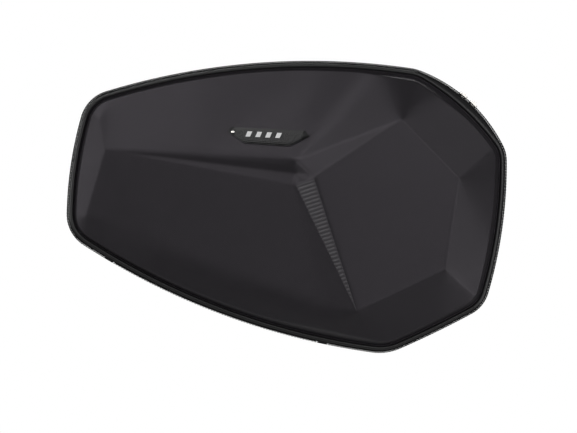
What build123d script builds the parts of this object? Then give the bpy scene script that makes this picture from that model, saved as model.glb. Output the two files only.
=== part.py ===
"""Motorcycle saddlebag: a moulded, faceted lid zipped to a soft-sided body on a rack plate.

Frame: +Z up, +X to the front of the motorcycle, -Y away from it. The origin is the centre of
the mount plate's back face. "out" is a distance outwards from that face, along -Y.
"""

import os
from math import atan2, cos, hypot, radians, sin

from build123d import *

os.makedirs("parts", exist_ok=True)

# Corner circles of the widest outline (x, z, radius), anticlockwise from the upper front
# corner, and the radius of the arc that runs from each corner to the next.
CORNERS = [
    (225.0, 36.0, 42.0),
    (141.5, 97.5, 53.0),
    (-213.5, 78.0, 45.5),
    (-230.5, -30.0, 44.5),
    (110.0, -135.5, 65.0),
    (203.5, -115.0, 42.5),
]
SIDES = [300.0, 860.0, 470.0, 880.0, 1210.0, 560.0]
SWOLLEN_DIAGONAL = 190.0  # the zip and the side wall bulge past the lid's edge here

# Depths, as distances out from the back face
PLATE_OUT = 10.0
PANEL_OUT = 15.0
STIFFENER_OUT = 17.5
BACKER_OUT = 20.0
WALL_END_OUT = 110.0
ZIP_OUT = 120.0
LID_START_OUT = 130.0
RIM_OUT = 144.0

# Walls and fabrics
FOAM = 3.5
TAPE = 1.2
LINING = 1.0
PIPING_R = 2.5
RIM_INSET = 3.5  # lid edge inside the widest outline
DOME_INSET = 10.5
SHELL_DROP = 5.0  # thickness of the moulded shell, measured along Y
SHELL_SIDE = 4.5
FLANGE = 3.0
BINDING_WIDTH = 5.0
BINDING = 2.0
DOME_DEPTH = 90.0  # deeper than the shell bulges
DOME_START = 2.0  # the flange and lining start this far behind the rim
DOME_CUT_START = 5.0
SKIN_BASE = 40.0
SEAM_GAP = 0.1

# Zip
COIL_R = 1.2
COIL_SPACING = 2.6  # each coil's centre from the zip's middle
TAPE_WIDTH = 14.0
TAB_LENGTH = 12.0
SLIDER_LENGTH = 13.0
SLIDER_WIDTH = 11.0
SLIDER_SPACING = 16.0
SLIDER_GAP = 0.7
SLIDER_PLATE = 1.2
SLIDER_CORNER = 3.0
POST_LENGTH = 5.0
POST_CORNER = 0.8
POST_CLEARANCE = 0.4
ARCH_SPAN = 5.6
ARCH_WIDTH = 3.0
ARCH_WALL = 1.2
ARCH_HEIGHT = 2.4
ARCH_CORNER = 0.6
PULL_HEIGHT = 3.1  # the pull's turning axis above the tape
WIRE_R = 0.7
RING_WIDTH = 8.0
RING_LENGTH = 9.0
RING_CORNER = 1.6
RING_INNER_CORNER = 0.6
PULL_TAB_SIZE = (11.0, 24.0)
TAB_THICKNESS = 2.6
TAB_OVERLAP = 2.0  # the tab covers this much of the loop
TAB_CORNER = 3.0
TAB_FILLET = 0.8

# Hinge line: along the straight lower edge, on the body's outside
HINGE_ANGLE = 22.2
HINGE_MIDDLE = (-92.0, -136.6)
HINGE_LENGTH = 296.0
HINGE_GAP = 0.4
HINGE_STRIP_WIDTH = 16.0
HINGE_ZONE_HEIGHT = 90.0
TAB_GAP = 0.5

# Back
REAR_PIPING_R = 2.4
STIFFENER_INSET = 12.0

# Facets of the lid: named points (x, z, height above the rim plane)
POINTS = {
    "A": (-225.0, 49.0, 30.0),
    "B": (-250.0, -32.0, 17.0),
    "C": (6.0, 6.0, 54.0),
    "D": (81.0, -148.0, 57.0),
    "E": (29.5, 13.5, 72.0),
    "F": (135.0, 84.0, 76.0),
    "G": (7.0, 36.0, 58.0),
    "H": (204.0, 13.5, 70.0),
    "I": (188.0, -97.0, 60.0),
    "T": (-234.0, 87.0, 18.0),
    "V": (8.0, 19.0, 49.5),
    "shoulder": (-109.0, 42.5, 44.0),
    "roll_rear": (-165.0, -78.0, 30.0),
    "roll_middle": (-60.0, -118.0, 40.0),
    "roll_front": (45.0, -155.0, 49.0),
}
EDGE_HEIGHT = 3.0
EDGE = [
    (268.0, 20.0),
    (262.0, 62.0),
    (205.0, 134.0),
    (165.0, 148.0),
    (110.0, 156.0),
    (40.0, 160.0),
    (-110.0, 151.0),
    (-215.0, 126.0),
    (-257.0, 100.0),
    (-273.0, 30.0),
    (-275.0, -34.0),
    (-256.0, -69.0),
    (-190.0, -109.0),
    (-100.0, -149.0),
    (0.0, -182.0),
    (60.0, -199.0),
    (115.0, -203.0),
    (190.0, -176.0),
    (240.0, -143.0),
    (259.0, -80.0),
]
# Each facet by its three points: a name, or a number for a point of the edge
FACETS = [
    # upper slope
    ("A", "T", 7), ("A", 7, 6), ("A", 6, "shoulder"), ("shoulder", 6, 5),
    ("shoulder", 5, "G"), ("G", 5, 4), ("G", 4, "F"), ("F", 4, 3),
    # front slopes
    ("F", 3, 2), ("F", 2, 1), ("F", 1, "H"), ("H", 1, 0), ("H", 0, 19),
    ("H", 19, "I"), ("I", 19, 18), ("I", 18, 17), ("I", 17, "D"), ("D", 17, 16),
    # rolled lower edge
    ("D", 16, 15), ("D", 15, "roll_front"), ("roll_front", 15, 14),
    ("roll_front", 14, "roll_middle"), ("roll_middle", 14, 13),
    ("roll_middle", 13, "roll_rear"), ("roll_rear", 13, 12), ("roll_rear", 12, "B"),
    ("B", 12, 11), ("B", 11, 10),
    # rear strip
    ("B", 10, 9), ("B", 9, "A"), ("A", 9, "T"), ("T", 9, 8), ("T", 8, 7),
    # rear plateau
    ("A", "B", "roll_rear"), ("A", "roll_rear", "C"), ("C", "roll_rear", "roll_middle"),
    ("C", "roll_middle", "roll_front"), ("C", "roll_front", "D"),
    # front plateau, its bevel and the ribbed step
    ("E", "F", "H"), ("E", "H", "I"), ("E", "I", "D"), ("G", "F", "E"), ("C", "E", "D"),
    # groove
    ("A", "shoulder", "V"), ("shoulder", "G", "V"), ("A", "V", "C"), ("G", "E", "V"),
    ("C", "V", "E"),
]

RIB_PITCH = 4.8
RIB_WIDTH = 2.4
RIB_HEIGHT = 1.1
RIB_MARGIN = 2.2
RIB_COUNT = 34
RIB_REACH = 80.0  # longer than the widest rib

# Badge
BADGE = [(-75.5, 70.4), (-71.2, 76.3), (18.5, 71.5), (24.0, 64.9), (-0.5, 52.9), (-55.8, 56.9)]
BADGE_HEIGHT = 2.6
BADGE_BEVEL = 3.2
BADGE_FACE = 0.5
BAR_COUNT = 4
BAR_SIZE = (8.0, 6.5)
BAR_SLANT = 70.0
BAR_PITCH = 12.0
BAR_START = (-50.0, 67.6)
BADGE_TILT = -3.0
STUD_CENTRE = (-69.5, 70.3)
STUD_SIZE = (4.2, 2.6)

# Rack mount
PLATE_LENGTH = 250.0
PLATE_HEIGHT = 150.0
PLATE_CORNER = 20.0
PLATE_CHAMFER = 2.5
PLATE_LEFT = 1.0  # plastic left under a blind screw hole
BACKER_SIZE = (236.0, 130.0, 14.0)  # length, height, corner radius
BACKER_WINDOW = (70.0, 60.0, 10.0)
SCREW_R = 3.0
SCREW_SPACING_X = 105.0
SCREW_SPACING_Z = 104.0
SCREW_HEAD_R = 5.5
SCREW_HEAD = 3.3
HEX_SOCKET = 2.3
HOLE_CLEARANCE = 0.3
SCREW_SINK = 1.0  # heads below the back face
SOCKET_DEPTH = 2.0
POCKET_DEPTH = 5.0
POCKET_SPACING = (40.0, 28.0)
POCKET_SIZE = (34.0, 22.0, 3.0)
WASHER = 1.2
NUT = 5.0
NUT_R = 5.77
TUBE_R = 8.0
TUBE_CLEARANCE = 0.15
TUBE_BACK = 11.0  # tube axis behind the back face
TUBE_Z = 36.0
HOOK_X = 85.0
HOOK_WIDTH = 26.0
HOOK_WALL = 4.0
PAD_HEIGHT = 50.0
MOUTH_SIZE = (60.0, 24.0)  # cut away under the tube, so the hook drops over it
MOUTH_DROP = 16.0
PLATE_CUT = 20.0  # everything inside the back face is cut away over this depth
CUT_HEIGHT = 60.0
HOOK_SCREW_R = 2.5
HOOK_SCREW_Z = (17.0, 55.0)
HOOK_HEAD_R = 4.2
HOOK_HEAD = 1.6
SCREW_TIP = 2.0  # a screw ends this far inside the plate
LATCH_WIDTH = 24.0
LATCH_PIN_R = 3.0
LATCH_PIN_BACK = 7.0
LATCH_PIN_Z = -60.0
PIN_CLEARANCE = 0.05
PIN_START = -17.2
PIN_LENGTH = 43.4
PIN_HEAD = 1.5
PIN_HEAD_R = 3.9
EARS = [(-17.0, -21.0), (22.0, 30.0)]  # each ear's inner side and its foot's centre
EAR_WALL = 4.0
EAR_R = 6.5
EAR_FOOT = (16.0, 22.0, 3.0)  # width, height, corner radius
EAR_SCREW_X = (-23.0, 32.0)
FOOT_DEPTH = 3.0
CLAW_HUB_R = 5.5
CLAW_FRONT_CUT = (40.0, 60.0)  # opens the claw towards the plate
CLAW_TOP_CUT = (60.0, 60.0)
CLAW_TOP = 4.0  # the claw ends this far above the tube's axis
CLAW_ARM = [(3.0, -57.0), (10.0, -47.0), (17.0, -47.0), (12.5, -60.0), (28.0, -72.0),
            (25.5, -75.2), (6.0, -65.0)]
SPRING_R = 4.6
SPRING_WIRE_R = 0.6
SPRING_PITCH = 1.6
SPRING_TURNS = 4.5
SPRING_START = 1.0  # beside the claw

# Carry handle
HANDLE_Z = 118.0
HANDLE_SPAN = 150.0
WEBBING_WIDTH = 22.0
WEBBING = 2.2
HANDLE_LIFT_OUT = 1.4
HANDLE_FLAT = 42.0
ANCHOR_START = 53.5
ANCHOR_X = 65.0
ANCHOR_LENGTH = 20.0
ANCHOR = 1.5
ANCHOR_CORNER = 3.0
BEND_SHIFT = 0.6  # keeps the webbing's thickness through its bends
GRIP_CORNER = 1.2
GRIP_LENGTH = 76.0
GRIP_WALL = 1.1
RIVET_R = 2.5
RIVET_HEAD = 1.5
RIVET_SPACING = 12.0


def at(x, z, out):
    """The point at (x, z), `out` mm out from the back face."""
    return Vector(x, -out, z)


def side_arc(index, outset, swollen):
    """Centre, radius and the two ends of the arc from one corner to the next."""
    x1, z1, r1 = CORNERS[index]
    x2, z2, r2 = CORNERS[(index + 1) % len(CORNERS)]
    radius = SWOLLEN_DIAGONAL if swollen and index == 0 else SIDES[index]
    span = hypot(x2 - x1, z2 - z1)
    ux, uz = (x2 - x1) / span, (z2 - z1) / span
    along = ((radius - r1) ** 2 - (radius - r2) ** 2 + span**2) / (2 * span)
    across = ((radius - r1) ** 2 - along**2) ** 0.5
    cx, cz = x1 + along * ux - across * uz, z1 + along * uz + across * ux
    ends = []
    for x, z, r in ((x1, z1, r1), (x2, z2, r2)):
        angle = atan2(z - cz, x - cx)
        ends.append((x + (r + outset) * cos(angle), z + (r + outset) * sin(angle)))
    return (cx, cz), radius + outset, ends


def arc_middle(centre, radius, start, end):
    """The point half way along the short arc from start to end."""
    mx = (start[0] + end[0]) / 2 - centre[0]
    mz = (start[1] + end[1]) / 2 - centre[1]
    length = hypot(mx, mz)
    return centre[0] + mx * radius / length, centre[1] + mz * radius / length


def outline(outset, out, swollen=True):
    """Face inside the bag's outline, moved outwards by outset, on the plane at out."""
    with BuildSketch(Plane.XZ.offset(out)) as face:
        with BuildLine():
            last = side_arc(len(CORNERS) - 1, outset, swollen)
            for index, (x, z, r) in enumerate(CORNERS):
                side = side_arc(index, outset, swollen)
                start, end = last[2][1], side[2][0]
                ThreePointArc(start, arc_middle((x, z), r + outset, start, end), end)
                ThreePointArc(end, arc_middle(side[0], side[1], *side[2]), side[2][1])
                last = side
        make_face()
    return face.sketch


def ring(outset, thickness, out, length, swollen=True):
    """Band round the bag: its outer face at outset, from out to out + length."""
    with BuildPart() as band:
        extrude(outline(outset, out, swollen), amount=length)
        extrude(outline(outset - thickness, out, swollen), amount=length, mode=Mode.SUBTRACT)
    return band.part


def bead(outset, radius, out, swollen=True):
    """Round bead along the outline, its centre line at outset."""
    path = outline(outset, out, swollen).face().outer_wire()
    with BuildPart() as rod:
        with BuildSketch(Plane(origin=path @ 0, z_dir=path % 0)):
            Circle(radius)
        sweep(path=path)
    return rod.part


def hinge_zone(length, out, depth):
    """Block over the hinged stretch of the lower edge."""
    x, z = HINGE_MIDDLE
    with BuildPart() as block:
        with BuildSketch(Plane.XZ.offset(out)):
            with Locations(Location((x, z), -HINGE_ANGLE)):
                Rectangle(length, HINGE_ZONE_HEIGHT)
        extrude(amount=depth)
    return block.part


def skin(lift):
    """Solid under the lid's facets, from below the rim plane, raised along Y by lift."""
    places = {name: at(x, z, RIM_OUT + h + lift) for name, (x, z, h) in POINTS.items()}
    for number, (x, z) in enumerate(EDGE):
        places[number] = at(x, z, RIM_OUT + EDGE_HEIGHT + lift)
    base_out = RIM_OUT - SKIN_BASE
    base = [at(x, z, base_out) for x, z in EDGE]
    faces = [Face(Wire.make_polygon([places[name] for name in facet])) for facet in FACETS]
    faces.append(Face(Wire.make_polygon(base)))
    for number in range(len(EDGE)):
        following = (number + 1) % len(EDGE)
        corners = [base[number], base[following], places[following], places[number]]
        faces.append(Face(Wire.make_polygon(corners)))
    return Solid(Shell(faces))


def dome(inset, drop, out):
    """Block inside the lid's outline under its facets, which are lowered along Y by drop."""
    with BuildPart() as block:
        extrude(outline(-inset, out, False), amount=DOME_DEPTH)
        add(skin(-drop), mode=Mode.INTERSECT)
    return block.part


def badge_layer(inset, low, high):
    """Slice that follows the lid's facets, from low to high above them, in badge shape."""
    with BuildPart() as slice_block:
        with BuildSketch(Plane.XZ.offset(RIM_OUT)):
            with BuildLine():
                Polyline(*BADGE, close=True)
            make_face()
            offset(amount=-inset)
        extrude(amount=DOME_DEPTH)
        add(skin(high), mode=Mode.INTERSECT)
        add(skin(low), mode=Mode.SUBTRACT)
    return slice_block.part


def save(piece, name):
    """Writes a finished piece as the node of that name."""
    piece.part.label = name
    export_step(piece.part, f"parts/{name}.step")


# ---- lid: moulded shell --------------------------------------------------------------

corner_c, corner_d, corner_e = (
    at(x, z, RIM_OUT + height) for x, z, height in (POINTS["C"], POINTS["D"], POINTS["E"])
)
strip_plane = Plane(
    corner_c, x_dir=corner_e - corner_c, z_dir=(corner_d - corner_c).cross(corner_e - corner_c)
)
strip_corners = [strip_plane.to_local_coords(point) for point in (corner_c, corner_e, corner_d)]

with BuildSketch(strip_plane) as rib_rows:
    for row in range(RIB_COUNT):
        with Locations((0, -(row + 0.5) * RIB_PITCH - RIB_MARGIN)):
            Rectangle(RIB_REACH, RIB_WIDTH)
    with BuildSketch(mode=Mode.INTERSECT):
        with BuildLine():
            Polyline(*[(point.X, point.Y) for point in strip_corners], close=True)
        make_face()
        offset(amount=-RIB_MARGIN)

with BuildPart() as outer_shell:
    add(dome(DOME_INSET, 0, RIM_OUT - DOME_START))
    extrude(rib_rows.sketch, amount=RIB_HEIGHT, both=True)
    flange_inset = RIM_INSET + 2 * PIPING_R + SEAM_GAP
    extrude(outline(-flange_inset, RIM_OUT - DOME_START, False), amount=FLANGE)
    add(dome(DOME_INSET + SHELL_SIDE, SHELL_DROP, RIM_OUT - DOME_CUT_START), mode=Mode.SUBTRACT)
save(outer_shell, "outer_shell")

with BuildPart() as shell_lining:
    lining_inset = DOME_INSET + SHELL_SIDE + SEAM_GAP
    add(dome(lining_inset, SHELL_DROP + SEAM_GAP, RIM_OUT - DOME_START))
    add(dome(lining_inset + LINING, SHELL_DROP + LINING, RIM_OUT - DOME_CUT_START), mode=Mode.SUBTRACT)
save(shell_lining, "shell_lining")

# ---- lid: badge ------------------------------------------------------------------------

with BuildPart() as badge_plate:
    add(badge_layer(0, 0, BADGE_HEIGHT / 2))
    add(badge_layer(BADGE_BEVEL / 2, BADGE_HEIGHT / 2, BADGE_HEIGHT))
save(badge_plate, "badge_plate")

with BuildPart() as badge_face:
    add(badge_layer(BADGE_BEVEL, BADGE_HEIGHT, BADGE_HEIGHT + BADGE_FACE))
save(badge_face, "badge_face")

with BuildPart() as badge_bars:
    with BuildSketch(Plane.XZ.offset(RIM_OUT)):
        for number in range(BAR_COUNT):
            drop = number * BAR_PITCH * sin(radians(BADGE_TILT))
            centre = (BAR_START[0] + number * BAR_PITCH, BAR_START[1] + drop)
            with Locations(Location(centre, BADGE_TILT)):
                Trapezoid(*BAR_SIZE, BAR_SLANT, 180 - BAR_SLANT)
    extrude(amount=DOME_DEPTH)
    add(skin(BADGE_HEIGHT + 2 * BADGE_FACE), mode=Mode.INTERSECT)
    add(skin(BADGE_HEIGHT + BADGE_FACE), mode=Mode.SUBTRACT)
save(badge_bars, "badge_bars")

with BuildPart() as badge_stud:
    with BuildSketch(Plane.XZ.offset(RIM_OUT)):
        with Locations(STUD_CENTRE):
            Ellipse(STUD_SIZE[0] / 2, STUD_SIZE[1] / 2)
    extrude(amount=DOME_DEPTH)
    add(skin(BADGE_HEIGHT + 3 * BADGE_FACE), mode=Mode.INTERSECT)
    add(skin(BADGE_HEIGHT + BADGE_FACE), mode=Mode.SUBTRACT)
save(badge_stud, "badge_stud")

# ---- lid: edge, side band and zip half -------------------------------------------------

with BuildPart() as shell_piping:
    add(bead(-RIM_INSET - PIPING_R, PIPING_R, RIM_OUT, False))
save(shell_piping, "shell_piping")

with BuildPart() as rim_seam_binding:
    binding_out = RIM_OUT - PIPING_R - SEAM_GAP - BINDING
    binding_outset = -RIM_INSET - FOAM - SEAM_GAP
    add(ring(binding_outset, BINDING_WIDTH, binding_out, BINDING, False))
save(rim_seam_binding, "rim_seam_binding")

with BuildPart() as lid_gusset:
    gusset_end = RIM_OUT - PIPING_R - SEAM_GAP
    loft([
        outline(-TAPE - SEAM_GAP, LID_START_OUT),
        outline(-RIM_INSET - SEAM_GAP, gusset_end, False),
    ])
    loft(
        [
            outline(-TAPE - FOAM, LID_START_OUT),
            outline(-RIM_INSET - FOAM, gusset_end, False),
        ],
        mode=Mode.SUBTRACT,
    )
save(lid_gusset, "lid_gusset")

# ---- zip and fabric hinge --------------------------------------------------------------

zip_cut = hinge_zone(HINGE_LENGTH, PANEL_OUT, RIM_OUT)
strip_zone = hinge_zone(HINGE_LENGTH - 2 * TAB_LENGTH, PANEL_OUT, RIM_OUT)
tape_start = COIL_SPACING + COIL_R + SEAM_GAP / 2

with BuildPart() as zip_tape_front:
    add(ring(0, TAPE, ZIP_OUT + tape_start, TAPE_WIDTH))
    add(zip_cut, mode=Mode.SUBTRACT)
save(zip_tape_front, "zip_tape_front")

with BuildPart() as zip_tape_rear:
    add(ring(0, TAPE, ZIP_OUT - tape_start - TAPE_WIDTH, TAPE_WIDTH))
    add(zip_cut, mode=Mode.SUBTRACT)
save(zip_tape_rear, "zip_tape_rear")

with BuildPart() as zip_coil_front:
    add(bead(-COIL_R, COIL_R, ZIP_OUT + COIL_SPACING))
    add(zip_cut, mode=Mode.SUBTRACT)
save(zip_coil_front, "zip_coil_front")

with BuildPart() as zip_coil_rear:
    add(bead(-COIL_R, COIL_R, ZIP_OUT - COIL_SPACING))
    add(zip_cut, mode=Mode.SUBTRACT)
save(zip_coil_rear, "zip_coil_rear")

with BuildPart() as hinge_strip_lid:
    add(ring(0, TAPE, ZIP_OUT + HINGE_GAP, HINGE_STRIP_WIDTH))
    add(strip_zone, mode=Mode.INTERSECT)
save(hinge_strip_lid, "hinge_strip_lid")

with BuildPart() as hinge_strip_body:
    add(ring(0, TAPE, ZIP_OUT - HINGE_GAP - HINGE_STRIP_WIDTH, HINGE_STRIP_WIDTH))
    add(strip_zone, mode=Mode.INTERSECT)
save(hinge_strip_body, "hinge_strip_body")

with BuildPart() as zip_end_tabs:
    add(ring(TAPE, 2 * TAPE, ZIP_OUT - HINGE_GAP - TAPE_WIDTH, TAPE_WIDTH))
    add(zip_cut, mode=Mode.INTERSECT)
    add(hinge_zone(HINGE_LENGTH - 2 * (TAB_LENGTH - TAB_GAP), PANEL_OUT, RIM_OUT), mode=Mode.SUBTRACT)
save(zip_end_tabs, "zip_end_tabs")

# ---- zip sliders and their pulls -------------------------------------------------------

diagonal_centre, diagonal_radius, diagonal_ends = side_arc(0, 0, True)
diagonal_middle = arc_middle(diagonal_centre, diagonal_radius, *diagonal_ends)
middle_angle = atan2(
    diagonal_middle[1] - diagonal_centre[1], diagonal_middle[0] - diagonal_centre[0]
)


def slider_plane(along):
    """Plane on the zip tape, its normal outwards, `along` mm down the front diagonal."""
    angle = middle_angle - along / diagonal_radius
    x = diagonal_centre[0] + diagonal_radius * cos(angle)
    z = diagonal_centre[1] + diagonal_radius * sin(angle)
    return Plane(
        at(x, z, ZIP_OUT),
        x_dir=Vector(sin(angle), 0, -cos(angle)),
        z_dir=Vector(cos(angle), 0, sin(angle)),
    )


def slider(plane):
    """Two plates round the coils, the post between them and the arch for the pull."""
    plate_top = SLIDER_GAP + SLIDER_PLATE
    inner_face = -2 * COIL_R - SLIDER_GAP
    with BuildPart() as body:
        for low in (SLIDER_GAP, inner_face - SLIDER_PLATE):
            with BuildSketch(plane.offset(low)):
                RectangleRounded(SLIDER_LENGTH, SLIDER_WIDTH, SLIDER_CORNER)
            extrude(amount=SLIDER_PLATE)
        with BuildSketch(plane.offset(inner_face)):
            post_width = 2 * (COIL_SPACING - COIL_R - POST_CLEARANCE)
            RectangleRounded(POST_LENGTH, post_width, POST_CORNER)
        extrude(amount=SLIDER_GAP - inner_face)
        with BuildSketch(plane.offset(plate_top)):
            with Locations((0, ARCH_SPAN / 2), (0, -ARCH_SPAN / 2)):
                Rectangle(ARCH_WIDTH, ARCH_WALL)
        extrude(amount=ARCH_HEIGHT)
        with BuildSketch(plane.offset(plate_top + ARCH_HEIGHT)):
            RectangleRounded(ARCH_WIDTH, ARCH_SPAN + ARCH_WALL, ARCH_CORNER)
        extrude(amount=ARCH_WALL)
    return body.part


def pull_ring(plane):
    """Wire loop through the slider's arch, lying back over the side wall."""
    with BuildPart() as loop:
        with BuildSketch(plane.offset(PULL_HEIGHT - WIRE_R)):
            with Locations((0, RING_LENGTH / 2)):
                RectangleRounded(
                    RING_WIDTH + 2 * WIRE_R, RING_LENGTH + 2 * WIRE_R, RING_CORNER
                )
                RectangleRounded(
                    RING_WIDTH - 2 * WIRE_R,
                    RING_LENGTH - 2 * WIRE_R,
                    RING_INNER_CORNER,
                    mode=Mode.SUBTRACT,
                )
        extrude(amount=2 * WIRE_R)
    return loop.part


def pull_tab(plane, loop):
    """Rubber tab moulded round the end of the wire loop."""
    with BuildPart() as tab:
        with BuildSketch(plane.offset(PULL_HEIGHT - TAB_THICKNESS / 2)):
            with Locations((0, RING_LENGTH - TAB_OVERLAP + PULL_TAB_SIZE[1] / 2)):
                RectangleRounded(*PULL_TAB_SIZE, TAB_CORNER)
        extrude(amount=TAB_THICKNESS)
        fillet(tab.edges().filter_by(GeomType.CIRCLE), TAB_FILLET)
        add(loop, mode=Mode.SUBTRACT)
    return tab.part


for letter, along in (("a", -SLIDER_SPACING / 2), ("b", SLIDER_SPACING / 2)):
    plane = slider_plane(along)
    with BuildPart() as zip_slider:
        add(slider(plane))
    save(zip_slider, f"zip_slider_{letter}")
    with BuildPart() as zip_pull_ring:
        add(pull_ring(plane))
    save(zip_pull_ring, f"zip_pull_ring_{letter}")
    with BuildPart() as zip_pull_tab:
        add(pull_tab(plane, zip_pull_ring.part))
    save(zip_pull_tab, f"zip_pull_tab_{letter}")

# ---- body: side wall and back ----------------------------------------------------------

wall_outset = -TAPE - SEAM_GAP
wall_start = PANEL_OUT + SEAM_GAP
lining_start = wall_start + BINDING + SEAM_GAP

with BuildPart() as body_gusset:
    add(ring(wall_outset, FOAM, wall_start, WALL_END_OUT - wall_start))
save(body_gusset, "body_gusset")

with BuildPart() as gusset_lining:
    lining_outset = wall_outset - FOAM - SEAM_GAP
    add(ring(lining_outset, LINING, lining_start, WALL_END_OUT - lining_start))
save(gusset_lining, "gusset_lining")

with BuildPart() as rear_seam_binding:
    add(ring(wall_outset - FOAM - SEAM_GAP, BINDING_WIDTH, wall_start, BINDING))
save(rear_seam_binding, "rear_seam_binding")

rear_piping_outset = wall_outset - REAR_PIPING_R
with BuildPart() as rear_piping:
    add(bead(rear_piping_outset, REAR_PIPING_R, PANEL_OUT - REAR_PIPING_R))
save(rear_piping, "rear_piping")

screw_places = GridLocations(SCREW_SPACING_X, SCREW_SPACING_Z, 3, 2)

with BuildPart() as fastener_holes:
    with BuildSketch(Plane.XZ):
        with screw_places:
            Circle(SCREW_R + HOLE_CLEARANCE)
        with Locations((0, HANDLE_Z)):
            with GridLocations(2 * ANCHOR_X, RIVET_SPACING, 2, 2):
                Circle(RIVET_R + PIN_CLEARANCE)
    extrude(amount=BACKER_OUT)

with BuildPart() as back_panel:
    panel_outset = rear_piping_outset - REAR_PIPING_R - SEAM_GAP
    extrude(outline(panel_outset, PLATE_OUT), amount=PANEL_OUT - PLATE_OUT)
    add(fastener_holes.part, mode=Mode.SUBTRACT)
save(back_panel, "back_panel")

with BuildPart() as back_stiffener:
    extrude(outline(-STIFFENER_INSET, PANEL_OUT), amount=STIFFENER_OUT - PANEL_OUT)
    add(fastener_holes.part, mode=Mode.SUBTRACT)
save(back_stiffener, "back_stiffener")

# ---- rack mount ------------------------------------------------------------------------

hook_screw_places = [(x, z) for x in (-HOOK_X, HOOK_X) for z in HOOK_SCREW_Z]

with BuildPart() as mount_plate:
    with BuildSketch(Plane.XZ):
        RectangleRounded(PLATE_LENGTH, PLATE_HEIGHT, PLATE_CORNER)
    extrude(amount=PLATE_OUT)
    chamfer(mount_plate.faces().sort_by(Axis.Y)[0].edges(), PLATE_CHAMFER)
    with BuildSketch(Plane.XZ):
        with GridLocations(*POCKET_SPACING, 3, 3):
            RectangleRounded(*POCKET_SIZE)
    extrude(amount=POCKET_DEPTH, mode=Mode.SUBTRACT)
    with BuildSketch(Plane.XZ):
        with screw_places:
            Circle(SCREW_R + HOLE_CLEARANCE)
    extrude(amount=PLATE_OUT, mode=Mode.SUBTRACT)
    with BuildSketch(Plane.XZ):
        with screw_places:
            Circle(SCREW_HEAD_R + HOLE_CLEARANCE)
    extrude(amount=SCREW_HEAD + SCREW_SINK, mode=Mode.SUBTRACT)
    with BuildSketch(Plane.XZ):
        with Locations(*hook_screw_places):
            Circle(HOOK_SCREW_R + PIN_CLEARANCE)
        with Locations(*[(x, LATCH_PIN_Z) for x in EAR_SCREW_X]):
            Circle(HOOK_SCREW_R + PIN_CLEARANCE)
    extrude(amount=PLATE_OUT - PLATE_LEFT, mode=Mode.SUBTRACT)
save(mount_plate, "mount_plate")

with BuildPart() as mount_backer:
    with BuildSketch(Plane.XZ.offset(STIFFENER_OUT)):
        RectangleRounded(*BACKER_SIZE)
        with GridLocations(SCREW_SPACING_X, 0, 2, 1):
            RectangleRounded(*BACKER_WINDOW, mode=Mode.SUBTRACT)
        with screw_places:
            Circle(SCREW_R + HOLE_CLEARANCE, mode=Mode.SUBTRACT)
    extrude(amount=BACKER_OUT - STIFFENER_OUT)
save(mount_backer, "mount_backer")

with BuildPart() as mount_screws:
    with BuildSketch(Plane.XZ.offset(SCREW_SINK)):
        with screw_places:
            Circle(SCREW_HEAD_R)
    extrude(amount=SCREW_HEAD)
    with BuildSketch(Plane.XZ.offset(SCREW_SINK)):
        with screw_places:
            Circle(SCREW_R)
    extrude(amount=BACKER_OUT + WASHER + NUT + SCREW_SINK)
    with BuildSketch(Plane.XZ.offset(SCREW_SINK)):
        with screw_places:
            RegularPolygon(HEX_SOCKET, 6)
    extrude(amount=SOCKET_DEPTH, mode=Mode.SUBTRACT)
save(mount_screws, "mount_screws")

with BuildPart() as mount_washers:
    with BuildSketch(Plane.XZ.offset(BACKER_OUT)):
        with screw_places:
            Circle(2 * SCREW_R)
            Circle(SCREW_R + HOLE_CLEARANCE, mode=Mode.SUBTRACT)
    extrude(amount=WASHER)
save(mount_washers, "mount_washers")

with BuildPart() as mount_nuts:
    with BuildSketch(Plane.XZ.offset(BACKER_OUT + WASHER)):
        with screw_places:
            RegularPolygon(NUT_R, 6)
            Circle(SCREW_R + PIN_CLEARANCE, mode=Mode.SUBTRACT)
    extrude(amount=NUT)
save(mount_nuts, "mount_nuts")

hook_bore = TUBE_R + TUBE_CLEARANCE
pad_depth = TUBE_BACK - hook_bore
for name, x in (("rack_hook_rear", -HOOK_X), ("rack_hook_front", HOOK_X)):
    with BuildPart() as rack_hook:
        with BuildSketch(Plane.YZ.offset(x - HOOK_WIDTH / 2)):
            with Locations((TUBE_BACK, TUBE_Z)):
                Circle(hook_bore + HOOK_WALL)
            with Locations((TUBE_BACK, TUBE_Z - MOUTH_DROP)):
                Rectangle(*MOUTH_SIZE, mode=Mode.SUBTRACT)
            with Locations((pad_depth / 2, TUBE_Z)):
                Rectangle(pad_depth, PAD_HEIGHT)
            with Locations((TUBE_BACK, TUBE_Z)):
                Circle(hook_bore, mode=Mode.SUBTRACT)
            with Locations((-PLATE_CUT / 2, TUBE_Z)):
                Rectangle(PLATE_CUT, CUT_HEIGHT, mode=Mode.SUBTRACT)
        extrude(amount=HOOK_WIDTH)
        with BuildSketch(Plane.XZ):
            with Locations(*[(x, z) for z in HOOK_SCREW_Z]):
                Circle(HOOK_SCREW_R + PIN_CLEARANCE)
        extrude(amount=-pad_depth, mode=Mode.SUBTRACT)
        with BuildSketch(Plane.XZ.offset(-pad_depth)):
            with Locations(*[(x, z) for z in HOOK_SCREW_Z]):
                Circle(HOOK_HEAD_R + PIN_CLEARANCE)
        extrude(amount=HOOK_HEAD, mode=Mode.SUBTRACT)
    save(rack_hook, name)

with BuildPart() as hook_screws:
    for radius, start, length in (
        (HOOK_HEAD_R, -pad_depth, HOOK_HEAD),
        (HOOK_SCREW_R, -pad_depth, pad_depth + PLATE_OUT - SCREW_TIP),
    ):
        with BuildSketch(Plane.XZ.offset(start)):
            with Locations(*hook_screw_places):
                Circle(radius)
        extrude(amount=length)
save(hook_screws, "hook_screws")

# ---- quick-release latch ---------------------------------------------------------------

latch_pivot = (LATCH_PIN_BACK, LATCH_PIN_Z)

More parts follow.
